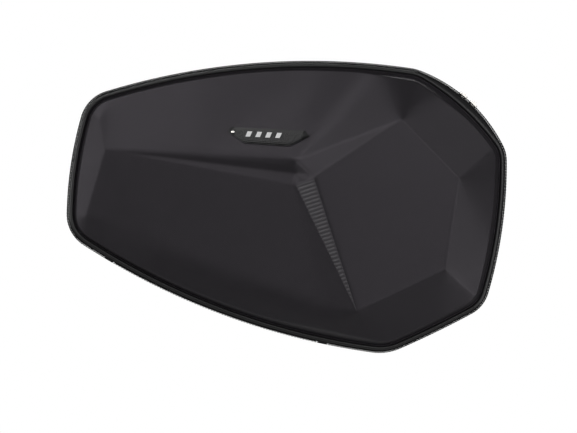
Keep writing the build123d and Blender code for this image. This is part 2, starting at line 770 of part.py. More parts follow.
with BuildPart() as latch_ears:
    for x, foot_x in EARS:
        with BuildSketch(Plane.YZ.offset(x)):
            with Locations(latch_pivot):
                Circle(EAR_R)
            with Locations((LATCH_PIN_BACK / 2, LATCH_PIN_Z)):
                Rectangle(LATCH_PIN_BACK, 2 * EAR_R)
            with Locations((-PLATE_CUT / 2, LATCH_PIN_Z)):
                Rectangle(PLATE_CUT, CUT_HEIGHT, mode=Mode.SUBTRACT)
        extrude(amount=EAR_WALL)
        with BuildSketch(Plane.XZ):
            with Locations((foot_x, LATCH_PIN_Z)):
                RectangleRounded(*EAR_FOOT)
        extrude(amount=-FOOT_DEPTH)
    with BuildSketch(Plane.YZ.offset(-CUT_HEIGHT)):
        with Locations(latch_pivot):
            Circle(LATCH_PIN_R)
    extrude(amount=2 * CUT_HEIGHT, mode=Mode.SUBTRACT)
    with BuildSketch(Plane.XZ):
        with Locations(*[(x, LATCH_PIN_Z) for x in EAR_SCREW_X]):
            Circle(HOOK_SCREW_R + PIN_CLEARANCE)
    extrude(amount=-FOOT_DEPTH, mode=Mode.SUBTRACT)
save(latch_ears, "latch_ears")

with BuildPart() as latch_screws:
    for radius, start, length in (
        (HOOK_HEAD_R, -FOOT_DEPTH - HOOK_HEAD, HOOK_HEAD),
        (HOOK_SCREW_R, -FOOT_DEPTH, FOOT_DEPTH + PLATE_OUT - SCREW_TIP),
    ):
        with BuildSketch(Plane.XZ.offset(start)):
            with Locations(*[(x, LATCH_PIN_Z) for x in EAR_SCREW_X]):
                Circle(radius)
        extrude(amount=length)
save(latch_screws, "latch_screws")

with BuildPart() as latch_pin:
    with BuildSketch(Plane.YZ.offset(PIN_START)):
        with Locations(latch_pivot):
            Circle(LATCH_PIN_R)
    extrude(amount=PIN_LENGTH)
    for x in (PIN_START - PIN_HEAD, PIN_START + PIN_LENGTH):
        with BuildSketch(Plane.YZ.offset(x)):
            with Locations(latch_pivot):
                Circle(PIN_HEAD_R)
        extrude(amount=PIN_HEAD)
save(latch_pin, "latch_pin")

with BuildPart() as latch_claw:
    with BuildSketch(Plane.YZ.offset(-LATCH_WIDTH / 2)):
        with Locations((TUBE_BACK, -TUBE_Z)):
            Circle(hook_bore + HOOK_WALL)
            Circle(hook_bore, mode=Mode.SUBTRACT)
        with Locations((TUBE_BACK - CLAW_FRONT_CUT[0] / 2, -TUBE_Z)):
            Rectangle(*CLAW_FRONT_CUT, mode=Mode.SUBTRACT)
        with Locations((TUBE_BACK, -TUBE_Z + CLAW_TOP + CLAW_TOP_CUT[1] / 2)):
            Rectangle(*CLAW_TOP_CUT, mode=Mode.SUBTRACT)
        with BuildLine():
            Polyline(*CLAW_ARM, close=True)
        make_face()
        with Locations(latch_pivot):
            Circle(CLAW_HUB_R)
        with Locations((TUBE_BACK, -TUBE_Z)):
            Circle(hook_bore, mode=Mode.SUBTRACT)
        with Locations(latch_pivot):
            Circle(LATCH_PIN_R + PIN_CLEARANCE, mode=Mode.SUBTRACT)
    extrude(amount=LATCH_WIDTH)
save(latch_claw, "latch_claw")

with BuildPart() as latch_spring:
    spring_start = (LATCH_WIDTH / 2 + SPRING_START, *latch_pivot)
    with BuildLine():
        turns = Helix(
            SPRING_PITCH, SPRING_TURNS * SPRING_PITCH, SPRING_R, spring_start, direction=(1, 0, 0)
        )
    with BuildSketch(Plane(origin=turns @ 0, z_dir=turns % 0)):
        Circle(SPRING_WIRE_R)
    sweep(path=turns, is_frenet=True)
save(latch_spring, "latch_spring")

# ---- carry handle ----------------------------------------------------------------------

handle_low = HANDLE_Z - WEBBING_WIDTH / 2
with BuildPart() as handle_webbing:
    with BuildSketch(Plane.XY.offset(handle_low)):
        with BuildLine():
            Polyline(
                (0, -HANDLE_LIFT_OUT - WEBBING),
                (HANDLE_FLAT, -HANDLE_LIFT_OUT - WEBBING),
                (ANCHOR_START, -PLATE_OUT),
                (HANDLE_SPAN / 2, -PLATE_OUT),
                (HANDLE_SPAN / 2, -PLATE_OUT + WEBBING),
                (ANCHOR_START + BEND_SHIFT, -PLATE_OUT + WEBBING),
                (HANDLE_FLAT + BEND_SHIFT, -HANDLE_LIFT_OUT),
                (0, -HANDLE_LIFT_OUT),
                close=True,
            )
        make_face()
        mirror(about=Plane.YZ)
    extrude(amount=WEBBING_WIDTH)
    add(fastener_holes.part, mode=Mode.SUBTRACT)
save(handle_webbing, "handle_webbing")

with BuildPart() as handle_grip:
    grip_middle = (-HANDLE_LIFT_OUT - WEBBING / 2, HANDLE_Z)
    with BuildSketch(Plane.YZ.offset(-GRIP_LENGTH / 2)):
        with Locations(grip_middle):
            RectangleRounded(WEBBING + 2 * GRIP_WALL, WEBBING_WIDTH + 2 * GRIP_WALL, GRIP_CORNER)
            Rectangle(WEBBING + SEAM_GAP, WEBBING_WIDTH + SEAM_GAP, mode=Mode.SUBTRACT)
    extrude(amount=GRIP_LENGTH)
save(handle_grip, "handle_grip")

anchor_out = PLATE_OUT - WEBBING - ANCHOR
with BuildPart() as handle_anchors:
    with BuildSketch(Plane.XZ.offset(anchor_out)):
        with Locations((-ANCHOR_X, HANDLE_Z), (ANCHOR_X, HANDLE_Z)):
            RectangleRounded(ANCHOR_LENGTH, WEBBING_WIDTH, ANCHOR_CORNER)
    extrude(amount=ANCHOR)
    add(fastener_holes.part, mode=Mode.SUBTRACT)
save(handle_anchors, "handle_anchors")

with BuildPart() as handle_rivets:
    for radius, start, length in (
        (2 * RIVET_R, anchor_out - RIVET_HEAD, RIVET_HEAD),
        (RIVET_R, anchor_out - RIVET_HEAD, STIFFENER_OUT + RIVET_HEAD - anchor_out),
        (2 * RIVET_R, STIFFENER_OUT, RIVET_HEAD),
    ):
        with BuildSketch(Plane.XZ.offset(start)):
            with Locations((0, HANDLE_Z)):
                with GridLocations(2 * ANCHOR_X, RIVET_SPACING, 2, 2):
                    Circle(radius)
        extrude(amount=length)
save(handle_rivets, "handle_rivets")
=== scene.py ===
"""Looks of the motorcycle saddlebag: moulded lid, soft side wall, zip, badge, mount and light.

Everything is in metres in the row frame: +Z up, +X to the front of the motorcycle, -Y away
from it. "out" is a distance outwards from the mount plate's back face, along -Y.
"""

import math

import bpy
import numpy as np
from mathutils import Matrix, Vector, noise


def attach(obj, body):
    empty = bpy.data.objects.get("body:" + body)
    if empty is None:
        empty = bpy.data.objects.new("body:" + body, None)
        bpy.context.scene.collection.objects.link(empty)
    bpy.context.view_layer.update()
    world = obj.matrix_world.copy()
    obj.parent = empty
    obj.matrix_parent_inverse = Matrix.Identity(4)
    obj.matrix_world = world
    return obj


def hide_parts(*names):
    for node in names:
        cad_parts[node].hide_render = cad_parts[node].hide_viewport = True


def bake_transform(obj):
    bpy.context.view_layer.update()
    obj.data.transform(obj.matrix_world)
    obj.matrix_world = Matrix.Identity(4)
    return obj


MM = 0.001

# Corner circles of the widest outline (x, z, radius) and the arcs between them, in mm
CORNERS = [
    (225.0, 36.0, 42.0),
    (141.5, 97.5, 53.0),
    (-213.5, 78.0, 45.5),
    (-230.5, -30.0, 44.5),
    (110.0, -135.5, 65.0),
    (203.5, -115.0, 42.5),
]
SIDES = [300.0, 860.0, 470.0, 880.0, 1210.0, 560.0]
SWOLLEN_DIAGONAL = 190.0  # the first side where the wall and the zip bulge past the rim

# Depths in mm out from the back face
PANEL_OUT = 15.0
ZIP_OUT = 120.0
LID_START = 130.0
RIM_OUT = 144.0

RIM_INSET = 3.5
PIPING_R = 2.5
# The dome's foot inside the widest outline, and the lining under the dome and beside it
DOME_INSET = 10.5
SHELL_DROP = 5.2
SHELL_SIDE = 4.8

# Hinged stretch of the lower edge
HINGE_ANGLE = math.radians(22.2)
HINGE_MIDDLE = (-92.0, -136.6)
HINGE_LENGTH = 296.0
HINGE_REACH = 45.0  # how far to each side of its middle line a point still counts

# Facets of the lid: named points (x, z, height above the rim plane) in mm
POINTS = {
    "A": (-225.0, 49.0, 30.0),
    "B": (-250.0, -32.0, 17.0),
    "C": (6.0, 6.0, 54.0),
    "D": (81.0, -148.0, 57.0),
    "E": (29.5, 13.5, 72.0),
    "F": (135.0, 84.0, 76.0),
    "G": (7.0, 36.0, 58.0),
    "H": (204.0, 13.5, 70.0),
    "I": (188.0, -97.0, 60.0),
    "T": (-234.0, 87.0, 18.0),
    "V": (8.0, 19.0, 49.5),
    "shoulder": (-109.0, 42.5, 44.0),
    "roll_rear": (-165.0, -78.0, 30.0),
    "roll_middle": (-60.0, -118.0, 40.0),
    "roll_front": (45.0, -155.0, 49.0),
}
# Corners of the lid's edge (x, z), which facets name by their number, and their height
EDGE_HEIGHT = 3.0
EDGE = [
    (268.0, 20.0), (262.0, 62.0), (205.0, 134.0), (165.0, 148.0), (110.0, 156.0),
    (40.0, 160.0), (-110.0, 151.0), (-215.0, 126.0), (-257.0, 100.0), (-273.0, 30.0),
    (-275.0, -34.0), (-256.0, -69.0), (-190.0, -109.0), (-100.0, -149.0), (0.0, -182.0),
    (60.0, -199.0), (115.0, -203.0), (190.0, -176.0), (240.0, -143.0), (259.0, -80.0),
]
FACETS = [
    ("A", "T", 7), ("A", 7, 6), ("A", 6, "shoulder"), ("shoulder", 6, 5),
    ("shoulder", 5, "G"), ("G", 5, 4), ("G", 4, "F"), ("F", 4, 3),
    ("F", 3, 2), ("F", 2, 1), ("F", 1, "H"), ("H", 1, 0), ("H", 0, 19),
    ("H", 19, "I"), ("I", 19, 18), ("I", 18, 17), ("I", 17, "D"), ("D", 17, 16),
    ("D", 16, 15), ("D", 15, "roll_front"), ("roll_front", 15, 14),
    ("roll_front", 14, "roll_middle"), ("roll_middle", 14, 13),
    ("roll_middle", 13, "roll_rear"), ("roll_rear", 13, 12), ("roll_rear", 12, "B"),
    ("B", 12, 11), ("B", 11, 10),
    ("B", 10, 9), ("B", 9, "A"), ("A", 9, "T"), ("T", 9, 8), ("T", 8, 7),
    ("A", "B", "roll_rear"), ("A", "roll_rear", "C"), ("C", "roll_rear", "roll_middle"),
    ("C", "roll_middle", "roll_front"), ("C", "roll_front", "D"),
    ("E", "F", "H"), ("E", "H", "I"), ("E", "I", "D"), ("G", "F", "E"), ("C", "E", "D"),
    ("A", "shoulder", "V"), ("shoulder", "G", "V"), ("A", "V", "C"), ("G", "E", "V"),
    ("C", "V", "E"),
]
# Creases that stay sharp, and softer ones: pairs of points
SHARP = [
    ("A", "V"), ("A", "C"), ("C", "E"), ("C", "D"), ("E", "D"), ("E", "F"), ("F", "H"),
    ("H", "I"), ("I", "D"), ("G", "E"), ("G", "F"), ("T", "A"), ("A", "B"),
]
SOFT = [("A", "shoulder"), ("shoulder", "G"), ("F", 3), ("H", 1), ("I", 18)]
# Creases with a slightly raised edge
WELTS = [("F", "H"), ("H", "I"), ("I", "D"), ("E", "F")]
WELT_LIFT = 0.45
WELT_WIDTH = 2.4
# Rounding in mm: at sharp creases, at soft ones and at most, and the distance from a crease
# over which it widens by 1 mm
SHARP_BLUR = 1.3
SOFT_BLUR = 4.0
WIDEST_BLUR = 10.0
BLUR_GROWTH = 3.4

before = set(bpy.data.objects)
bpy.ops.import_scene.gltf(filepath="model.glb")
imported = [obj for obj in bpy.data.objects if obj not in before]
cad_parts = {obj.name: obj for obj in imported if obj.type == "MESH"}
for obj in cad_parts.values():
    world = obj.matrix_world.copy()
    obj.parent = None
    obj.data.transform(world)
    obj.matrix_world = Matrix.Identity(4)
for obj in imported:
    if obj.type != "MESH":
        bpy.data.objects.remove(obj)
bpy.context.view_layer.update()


# ---- outline ---------------------------------------------------------------------------

OUTLINE_STEP = 2.4  # mm between its points


def outline_arcs(swollen):
    """The outline's twelve arcs at no outset: centre, radius, first angle, turn, in mm."""
    sides = []
    for index, (x1, z1, r1) in enumerate(CORNERS):
        x2, z2, r2 = CORNERS[(index + 1) % len(CORNERS)]
        radius = SWOLLEN_DIAGONAL if swollen and index == 0 else SIDES[index]
        span = math.hypot(x2 - x1, z2 - z1)
        ux, uz = (x2 - x1) / span, (z2 - z1) / span
        along = ((radius - r1) ** 2 - (radius - r2) ** 2 + span**2) / (2 * span)
        across = math.sqrt((radius - r1) ** 2 - along**2)
        centre = (x1 + along * ux - across * uz, z1 + along * uz + across * ux)
        angles = [math.atan2(z - centre[1], x - centre[0]) for x, z in ((x1, z1), (x2, z2))]
        sides.append((centre, radius, angles[0], (angles[1] - angles[0]) % math.tau))
    arcs = []
    for index, (x, z, r) in enumerate(CORNERS):
        before, after = sides[index - 1], sides[index]
        start = before[2] + before[3]
        arcs.append(((x, z), r, start, (after[2] - start) % math.tau))
        arcs.append(after)
    return arcs


PLAIN_ARCS = outline_arcs(False)
SWOLLEN_ARCS = outline_arcs(True)


def outline(outset, swollen=1.0):
    """Points of the outline (N, 2) in mm, outset outwards; swollen 0 to 1 bulges its diagonal.

    The points match one to one whatever the outset.
    """
    rows = []
    for plain, full in zip(PLAIN_ARCS, SWOLLEN_ARCS, strict=True):
        count = max(4, round(plain[1] * plain[3] / OUTLINE_STEP))
        share = np.arange(count) / count
        places = []
        for centre, radius, start, turn in (plain, full):
            angle = start + turn * share
            x = centre[0] + (radius + outset) * np.cos(angle)
            z = centre[1] + (radius + outset) * np.sin(angle)
            places.append(np.stack([x, z], 1))
        rows.append(places[0] * (1 - swollen) + places[1] * swollen)
    return np.concatenate(rows)


def at_depth(points, out):
    """Row-frame points in metres from outline points in mm and a depth out."""
    depth = np.broadcast_to(np.asarray(out, float), len(points))
    return np.stack([points[:, 0], -depth, points[:, 1]], 1) * MM


def lengths_along(points):
    """Distance along a closed row of points, one value each."""
    steps = np.linalg.norm(np.roll(points, -1, 0) - points, axis=1)
    return np.concatenate([[0], np.cumsum(steps)[:-1]])


# ---- mesh helpers ----------------------------------------------------------------------


def new_object(name, vertices, faces, uvs=None, smooth=True):
    """Mesh object from arrays; uvs has one pair for each vertex, in metres."""
    mesh = bpy.data.meshes.new(name)
    mesh.from_pydata(np.asarray(vertices, float).tolist(), [], np.asarray(faces).tolist())
    if uvs is not None:
        layer = mesh.uv_layers.new(name="cloth")
        corners = np.zeros(len(mesh.loops), int)
        mesh.loops.foreach_get("vertex_index", corners)
        layer.data.foreach_set("uv", np.asarray(uvs, np.float32)[corners].ravel())
    mesh.polygons.foreach_set("use_smooth", [smooth] * len(mesh.polygons))
    mesh.update()
    made = bpy.data.objects.new(name, mesh)
    bpy.context.scene.collection.objects.link(made)
    return made


def band(name, rows, closed=True):
    """Quads between rows of points (each (N, 3) in metres), with cloth coordinates."""
    rows = np.asarray(rows)
    count, width = rows.shape[:2]
    steps = width if closed else width - 1
    row, column = np.meshgrid(np.arange(count - 1), np.arange(steps), indexing="ij")
    following = (column + 1) % width
    faces = np.stack(
        [
            row * width + column,
            row * width + following,
            (row + 1) * width + following,
            (row + 1) * width + column,
        ],
        -1,
    ).reshape(-1, 4)
    across = np.linalg.norm(np.diff(rows, axis=0), axis=2).mean(1)
    down = np.concatenate([[0], np.cumsum(across)])
    along = lengths_along(rows[0])
    uvs = np.stack(np.broadcast_arrays(along[None, :], down[:, None]), -1).reshape(-1, 2)
    return new_object(name, rows.reshape(-1, 3), faces, uvs)


def boxes(name, centres, along, across, sizes, rounding=0.25):
    """Many small rounded blocks in one mesh: sizes are along, across and up, in metres."""
    up = np.cross(along, across)
    half = np.asarray(sizes) / 2
    cut = rounding * half.min()
    ring = []
    for level, inset in ((-1, cut), (-1 + cut / half[2], 0), (1 - cut / half[2], 0), (1, cut)):
        for sx, sy in ((-1, -1), (1, -1), (1, 1), (-1, 1)):
            ring.append((sx * (half[0] - inset), sy * (half[1] - inset), level * half[2]))
    ring = np.array(ring)
    block = [(3, 2, 1, 0), (12, 13, 14, 15)]
    for level in range(3):
        for corner in range(4):
            low, high = level * 4 + corner, level * 4 + (corner + 1) % 4
            block.append((low, high, high + 4, low + 4))
    vertices = (
        centres[:, None]
        + ring[None, :, 0, None] * along[:, None]
        + ring[None, :, 1, None] * across[:, None]
        + ring[None, :, 2, None] * up[:, None]
    )
    faces = np.array(block)[None] + 16 * np.arange(len(centres))[:, None, None]
    return new_object(name, vertices.reshape(-1, 3), faces.reshape(-1, 4), smooth=False)


def unit(vectors):
    """The vectors at length 1."""
    return vectors / np.linalg.norm(vectors, axis=-1, keepdims=True)


def along_outline(outset, out, pitch, swollen=1.0, phase=0.0):
    """Evenly spaced places on the outline, and their tangents."""
    points = at_depth(outline(outset, swollen=swollen), out)
    distance = lengths_along(points)
    total = distance[-1] + np.linalg.norm(points[0] - points[-1])
    count = int(total / (pitch * MM))
    wanted = (np.arange(count) + phase) * total / count
    places = np.stack(
        [np.interp(wanted, distance, points[:, axis], period=total) for axis in range(3)], 1
    )
    return places, unit(np.roll(places, -1, 0) - np.roll(places, 1, 0))


def in_hinge_zone(places, length):
    """True for points (in metres) beside the hinged stretch of the lower edge."""
    x = places[:, 0] / MM - HINGE_MIDDLE[0]
    z = places[:, 2] / MM - HINGE_MIDDLE[1]
    along = x * math.cos(HINGE_ANGLE) - z * math.sin(HINGE_ANGLE)
    across = x * math.sin(HINGE_ANGLE) + z * math.cos(HINGE_ANGLE)
    return (abs(along) < length / 2) & (abs(across) < HINGE_REACH)


def run_of(keep):
    """Indices of the one unbroken run of kept points in a closed row, in order."""
    start = int(np.argmax(keep & ~np.roll(keep, 1)))
    return np.roll(np.arange(len(keep)), -start)[: int(keep.sum())]


def closing_rows(ring, spine, count):
    """Rows of points (N, 2) that lead from a ring to the nearest places on a line inside it."""
    direction = spine[1] - spine[0]
    share = np.clip((ring - spine[0]) @ direction / (direction @ direction), 0, 1)
    middle = spine[0] + share[:, None] * direction
    return [ring * (1 - step) + middle * step for step in np.linspace(0, 1, count)[1:]]


def ripple(points, size, strength, seed=0.0):
    """Smooth noise for each point: strength in the points' unit, size in metres."""
    return strength * np.array(
        [noise.noise(Vector(p) / size + Vector((seed, seed, seed))) for p in points]
    )


# ---- materials -------------------------------------------------------------------------


def node(tree, kind, **inputs):
    """New shader node with its input values."""
    made = tree.nodes.new(kind)
    for name, value in inputs.items():
        made.inputs[name.replace("_", " ")].default_value = value
    return made


def maths(tree, operation, first, second=0.0):
    """Output of a math node; first and second are numbers or sockets."""
    made = tree.nodes.new("ShaderNodeMath")
    made.operation = operation
    for socket, value in zip(made.inputs, (first, second), strict=False):
        if isinstance(value, (int, float)):
            socket.default_value = value
        else:
            tree.links.new(value, socket)
    return made.outputs[0]


def base_material(name, color, roughness):
    """New material with its node tree and its shader."""
    material = bpy.data.materials.new(name)
    material.use_nodes = True
    material.diffuse_color = (*color, 1)
    shader = material.node_tree.nodes["Principled BSDF"]
    shader.inputs["Base Color"].default_value = (*color, 1)
    shader.inputs["Roughness"].default_value = roughness
    return material, material.node_tree, shader


def mottle(tree, shader, coordinates, color, amount, scale, roughness, spread):
    """Uneven colour and roughness from noise."""
    cloud = node(tree, "ShaderNodeTexNoise", Scale=scale, Detail=5.0, Roughness=0.6)
    tree.links.new(coordinates, cloud.inputs["Vector"])
    mix = tree.nodes.new("ShaderNodeMix")
    mix.data_type = "RGBA"
    mix.inputs["A"].default_value = (*[c * (1 - amount) for c in color], 1)
    mix.inputs["B"].default_value = (*[c * (1 + amount) for c in color], 1)
    tree.links.new(cloud.outputs["Fac"], mix.inputs["Factor"])
    tree.links.new(mix.outputs["Result"], shader.inputs["Base Color"])
    rough = maths(tree, "MULTIPLY", cloud.outputs["Fac"], spread)
    tree.links.new(maths(tree, "ADD", rough, roughness - spread / 2), shader.inputs["Roughness"])


def bump(tree, shader, height, distance):
    """Relief from a height socket; distance is its depth in metres."""
    made = node(tree, "ShaderNodeBump", Strength=1.0, Distance=distance)
    tree.links.new(height, made.inputs["Height"])
    tree.links.new(made.outputs["Normal"], shader.inputs["Normal"])


def weave(
    name, color, pitch, depth, roughness, sheen, amount=0.25, twill=0.0, mapped=True,
    specular=0.3, tint=(1, 1, 1, 1),
):
    """Woven cloth; pitch and depth in metres.

    It lies on the piece's cloth coordinates, or along the row axes where it isn't mapped.
    """
    material, tree, shader = base_material(name, color, roughness)
    if mapped:
        uv = tree.nodes.new("ShaderNodeUVMap")
        uv.uv_map = "cloth"
        place = uv.outputs["UV"]
    else:
        place = tree.nodes.new("ShaderNodeTexCoord").outputs["Object"]
    mottle(tree, shader, place, color, amount, 60.0, roughness, 0.12)
    split = tree.nodes.new("ShaderNodeSeparateXYZ")
    tree.links.new(place, split.inputs[0])
    first, second = split.outputs["X"], split.outputs["Y"]
    if not mapped:
        slant = maths(tree, "MULTIPLY", split.outputs["Y"], 0.7)
        first = maths(tree, "ADD", first, slant)
        second = maths(tree, "ADD", split.outputs["Z"], slant)
    turn = math.tau / pitch
    warp = maths(tree, "MULTIPLY", first, turn)
    weft = maths(tree, "MULTIPLY", second, turn)
    if twill:
        warp = maths(tree, "ADD", warp, maths(tree, "MULTIPLY", weft, twill))
    height = maths(tree, "MULTIPLY", maths(tree, "SINE", warp), maths(tree, "SINE", weft))
    grain = node(tree, "ShaderNodeTexNoise", Scale=0.8 / pitch, Detail=2.0)
    tree.links.new(place, grain.inputs["Vector"])
    bump(tree, shader, maths(tree, "ADD", height, grain.outputs["Fac"]), depth)
    shader.inputs["Specular IOR Level"].default_value = specular
    shader.inputs["Specular Tint"].default_value = tint
    shader.inputs["Sheen Weight"].default_value = sheen
    shader.inputs["Sheen Roughness"].default_value = 0.5
    return material


def moulded(name, color, roughness, scale, depth):
    """Moulded plastic or rubber: fine grain, slightly uneven gloss."""
    material, tree, shader = base_material(name, color, roughness)
    place = tree.nodes.new("ShaderNodeTexCoord").outputs["Object"]
    mottle(tree, shader, place, color, 0.12, 40.0, roughness, 0.14)
    grain = node(tree, "ShaderNodeTexVoronoi", Scale=scale)
    tree.links.new(place, grain.inputs["Vector"])
    bump(tree, shader, grain.outputs["Distance"], depth)
    shader.inputs["Specular IOR Level"].default_value = 0.5
    return material


def metal(name, color, roughness):
    """Plated metal with fine scratches and worn, uneven gloss."""
    material, tree, shader = base_material(name, color, roughness)
    place = tree.nodes.new("ShaderNodeTexCoord").outputs["Object"]
    mottle(tree, shader, place, color, 0.1, 300.0, roughness, 0.2)
    scratch = node(tree, "ShaderNodeTexNoise", Scale=900.0, Detail=3.0)
    tree.links.new(place, scratch.inputs["Vector"])
    bump(tree, shader, scratch.outputs["Fac"], 0.00003)
    shader.inputs["Metallic"].default_value = 1.0
    return material


SHELL = weave(
    "shell cloth", (0.0125, 0.0115, 0.0132), 0.0011, 0.00004, 0.5, 0.0, amount=0.12,
    specular=0.53, tint=(0.97, 0.90, 1.0, 1),
)
# The ribbed step is painted four times lighter than the shell cloth: a painted highlight that
# stands in for the light its left-facing slope catches.
RIB_PAINTED_HIGHLIGHT = moulded("rib painted highlight", (0.050, 0.046, 0.052), 0.5, 1300.0, 0.00003)
WALL = weave(
    "side wall nylon", (0.011, 0.011, 0.0115), 0.0016, 0.00014, 0.7, 0.0, specular=0.2
)
TAPE_CLOTH = weave("tape cloth", (0.008, 0.008, 0.0085), 0.0009, 0.0001, 0.75, 0.02, twill=1.0)
TRIM = weave("trim", (0.009, 0.009, 0.0095), 0.0018, 0.0002, 0.75, 0.02, mapped=False)
LINING = weave("lining", (0.13, 0.13, 0.14), 0.0008, 0.00005, 0.7, 0.2, mapped=False)
PIPING = moulded("piping vinyl", (0.012, 0.012, 0.0125), 0.4, 900.0, 0.00006)
BADGE = moulded("badge plastic", (0.006, 0.006, 0.0062), 0.32, 1400.0, 0.00003)
BADGE_FACE = moulded("badge field", (0.011, 0.011, 0.0115), 0.45, 520.0, 0.0004)
PRINT = moulded("badge print", (0.72, 0.72, 0.72), 0.45, 1500.0, 0.00002)
ZIP = moulded("zip nylon", (0.012, 0.012, 0.012), 0.35, 1500.0, 0.00003)
RUBBER = moulded("rubber", (0.013, 0.013, 0.013), 0.6, 700.0, 0.00015)
BOARD = moulded("board", (0.05, 0.05, 0.05), 0.6, 300.0, 0.0001)
NYLON = moulded("mount nylon", (0.014, 0.014, 0.014), 0.5, 1100.0, 0.00015)
THREAD = moulded("thread", (0.016, 0.016, 0.0165), 0.5, 2500.0, 0.00005)
NICKEL = metal("nickel", (0.72, 0.70, 0.67), 0.22)
STEEL = metal("zinc steel", (0.55, 0.56, 0.58), 0.35)
ALUMINIUM = metal("aluminium", (0.6, 0.6, 0.62), 0.4)


def finish_piece(piece, material, body=None, nodes=()):
    """Gives a new piece its material and body, and hides the CAD nodes it stands for."""
    piece.data.materials.clear()
    piece.data.materials.append(material)
    if nodes:
        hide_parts(*nodes)
    if body:
        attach(piece, body)
    return piece


# ---- lid: moulded shell ----------------------------------------------------------------


def corner(key):
    """A facet corner's place and height in mm."""
    return (*EDGE[key], EDGE_HEIGHT) if isinstance(key, int) else POINTS[key]


def segment_distance(x, z, first, second):
    """Distance of each (x, z) from the line between two facet corners, in mm."""
    (x1, z1, _), (x2, z2, _) = corner(first), corner(second)
    dx, dz = x2 - x1, z2 - z1
    share = np.clip(((x - x1) * dx + (z - z1) * dz) / (dx * dx + dz * dz), 0, 1)
    return np.hypot(x - x1 - share * dx, z - z1 - share * dz)


def blurred(grid, sigma):
    """The grid (1 mm cells) blurred by a bell curve of that width in mm."""
    reach = int(math.ceil(3 * sigma))
    kernel = np.exp(-0.5 * (np.arange(-reach, reach + 1) / sigma) ** 2)
    kernel /= kernel.sum()
    padded = np.pad(grid, reach, mode="edge")
    rows = np.stack([np.convolve(row, kernel, "valid") for row in padded])
    return np.stack([np.convolve(column, kernel, "valid") for column in rows.T]).T


def flat_cloth(piece, flat):
    """Lays a band's cloth coordinates flat: one array of (x, z) in mm for each of its rows."""
    corners = np.zeros(len(piece.data.loops), int)
    piece.data.loops.foreach_get("vertex_index", corners)
    uvs = (np.concatenate(flat) * MM)[corners].astype(np.float32)
    piece.data.uv_layers["cloth"].data.foreach_set("uv", uvs.ravel())
    return piece


class LidSurface:
    """Height of the lid above the rim plane, with its creases rounded as moulded foam is."""

    low = (-300.0, -225.0)
    size = (600, 410)
    sigmas = (0.8, 1.6, 3.2, 6.4, WIDEST_BLUR)
    outer_slope = 0.7
    far = 1e9
    slack = 1e-6

    def __init__(self):
        x = self.low[0] + np.arange(self.size[0])[None, :]
        z = self.low[1] + np.arange(self.size[1])[:, None]
        x, z = np.broadcast_arrays(x, z)
        ring = [corner(number) for number in range(len(EDGE))]
        away = np.full(x.shape, self.far)
        for first, second in zip(range(len(ring)), [*range(1, len(ring)), 0], strict=True):
            away = np.minimum(away, segment_distance(x, z, first, second))
        height = EDGE_HEIGHT - self.outer_slope * away
        for facet in FACETS:
            (x1, z1, h1), (x2, z2, h2), (x3, z3, h3) = map(corner, facet)
            area = (x2 - x1) * (z3 - z1) - (x3 - x1) * (z2 - z1)
            second = ((x - x1) * (z3 - z1) - (x3 - x1) * (z - z1)) / area
            third = ((x2 - x1) * (z - z1) - (x - x1) * (z2 - z1)) / area
            inside = (second >= -self.slack) & (third >= -self.slack)
            inside &= second + third <= 1 + self.slack
            plane = h1 + second * (h2 - h1) + third * (h3 - h1)
            height = np.where(inside, plane, height)
        width = np.full(x.shape, WIDEST_BLUR)
        for pairs, least in ((SHARP, SHARP_BLUR), (SOFT, SOFT_BLUR)):
            for first, second in pairs:
                distance = segment_distance(x, z, first, second)
                width = np.minimum(width, least + distance / BLUR_GROWTH)
        levels = [blurred(height, sigma) for sigma in self.sigmas]
        place = np.interp(
            np.log(np.maximum(width, self.sigmas[0])),
            np.log(self.sigmas),
            range(len(self.sigmas)),
        )
        self.grid = np.zeros(x.shape)
        for number, level in enumerate(levels):
            self.grid += level * np.clip(1 - abs(place - number), 0, 1)
        for first, second in WELTS:
            away = segment_distance(x, z, first, second)
            self.grid += WELT_LIFT * np.exp(-((away / WELT_WIDTH) ** 2))

    def height(self, x, z):
        """Heights in mm at places in mm."""
        column = np.clip(np.asarray(x) - self.low[0], 0, self.size[0] - 1.001)
        row = np.clip(np.asarray(z) - self.low[1], 0, self.size[1] - 1.001)
        left, under = column.astype(int), row.astype(int)
        right_share, upper_share = column - left, row - under
        lower = self.grid[under, left] * (1 - right_share)
        lower = lower + self.grid[under, left + 1] * right_share
        upper = self.grid[under + 1, left] * (1 - right_share)
        upper = upper + self.grid[under + 1, left + 1] * right_share
        return lower * (1 - upper_share) + upper * upper_share


LID = LidSurface()
# The dome's side: its height at the foot, its slope, and how it rounds over into the facets
EDGE_START = 1.5
EDGE_RISE = 3.6
EDGE_BLEND = 2.2
LID_SPINE = np.array([(-150.0, 22.0), (120.0, -25.0)])
SKIN_ROWS = 84


def soft_minimum(first, second, reach):
    """The smaller of two heights, rounded over where they are within reach."""
    mix = np.clip(0.5 + 0.5 * (second - first) / reach, 0, 1)
    return second * (1 - mix) + first * mix - reach * mix * (1 - mix)


def lid_heights(points, inset):
    """Lid height at points (N, 2) that lie inset mm inside the dome's foot."""
    facet = LID.height(points[:, 0], points[:, 1])
    return soft_minimum(facet, EDGE_START + EDGE_RISE * inset, EDGE_BLEND)


def moulded_skin(name, edge, foot, drop):
    """A skin of the lid, drop mm under its outer one, from its edge rings to its middle."""
    rows = []
    flat = []
    for outset, out in edge:
        ring = outline(outset, swollen=0.0)
        rows.append(at_depth(ring, out))
        flat.append(ring)
    insets = np.concatenate([np.arange(0, 6, 0.75), np.arange(6, 27, 1.4)])
    for inset in insets:
        ring = outline(-foot - inset, swollen=0.0)
        rows.append(at_depth(ring, RIM_OUT + lid_heights(ring, inset) - drop))
        flat.append(ring)
    for points in closing_rows(ring, LID_SPINE, SKIN_ROWS):
        height = LID.height(points[:, 0], points[:, 1])
        rows.append(at_depth(points, RIM_OUT + height - drop))
        flat.append(points)
    return flat_cloth(band(name, rows), flat)


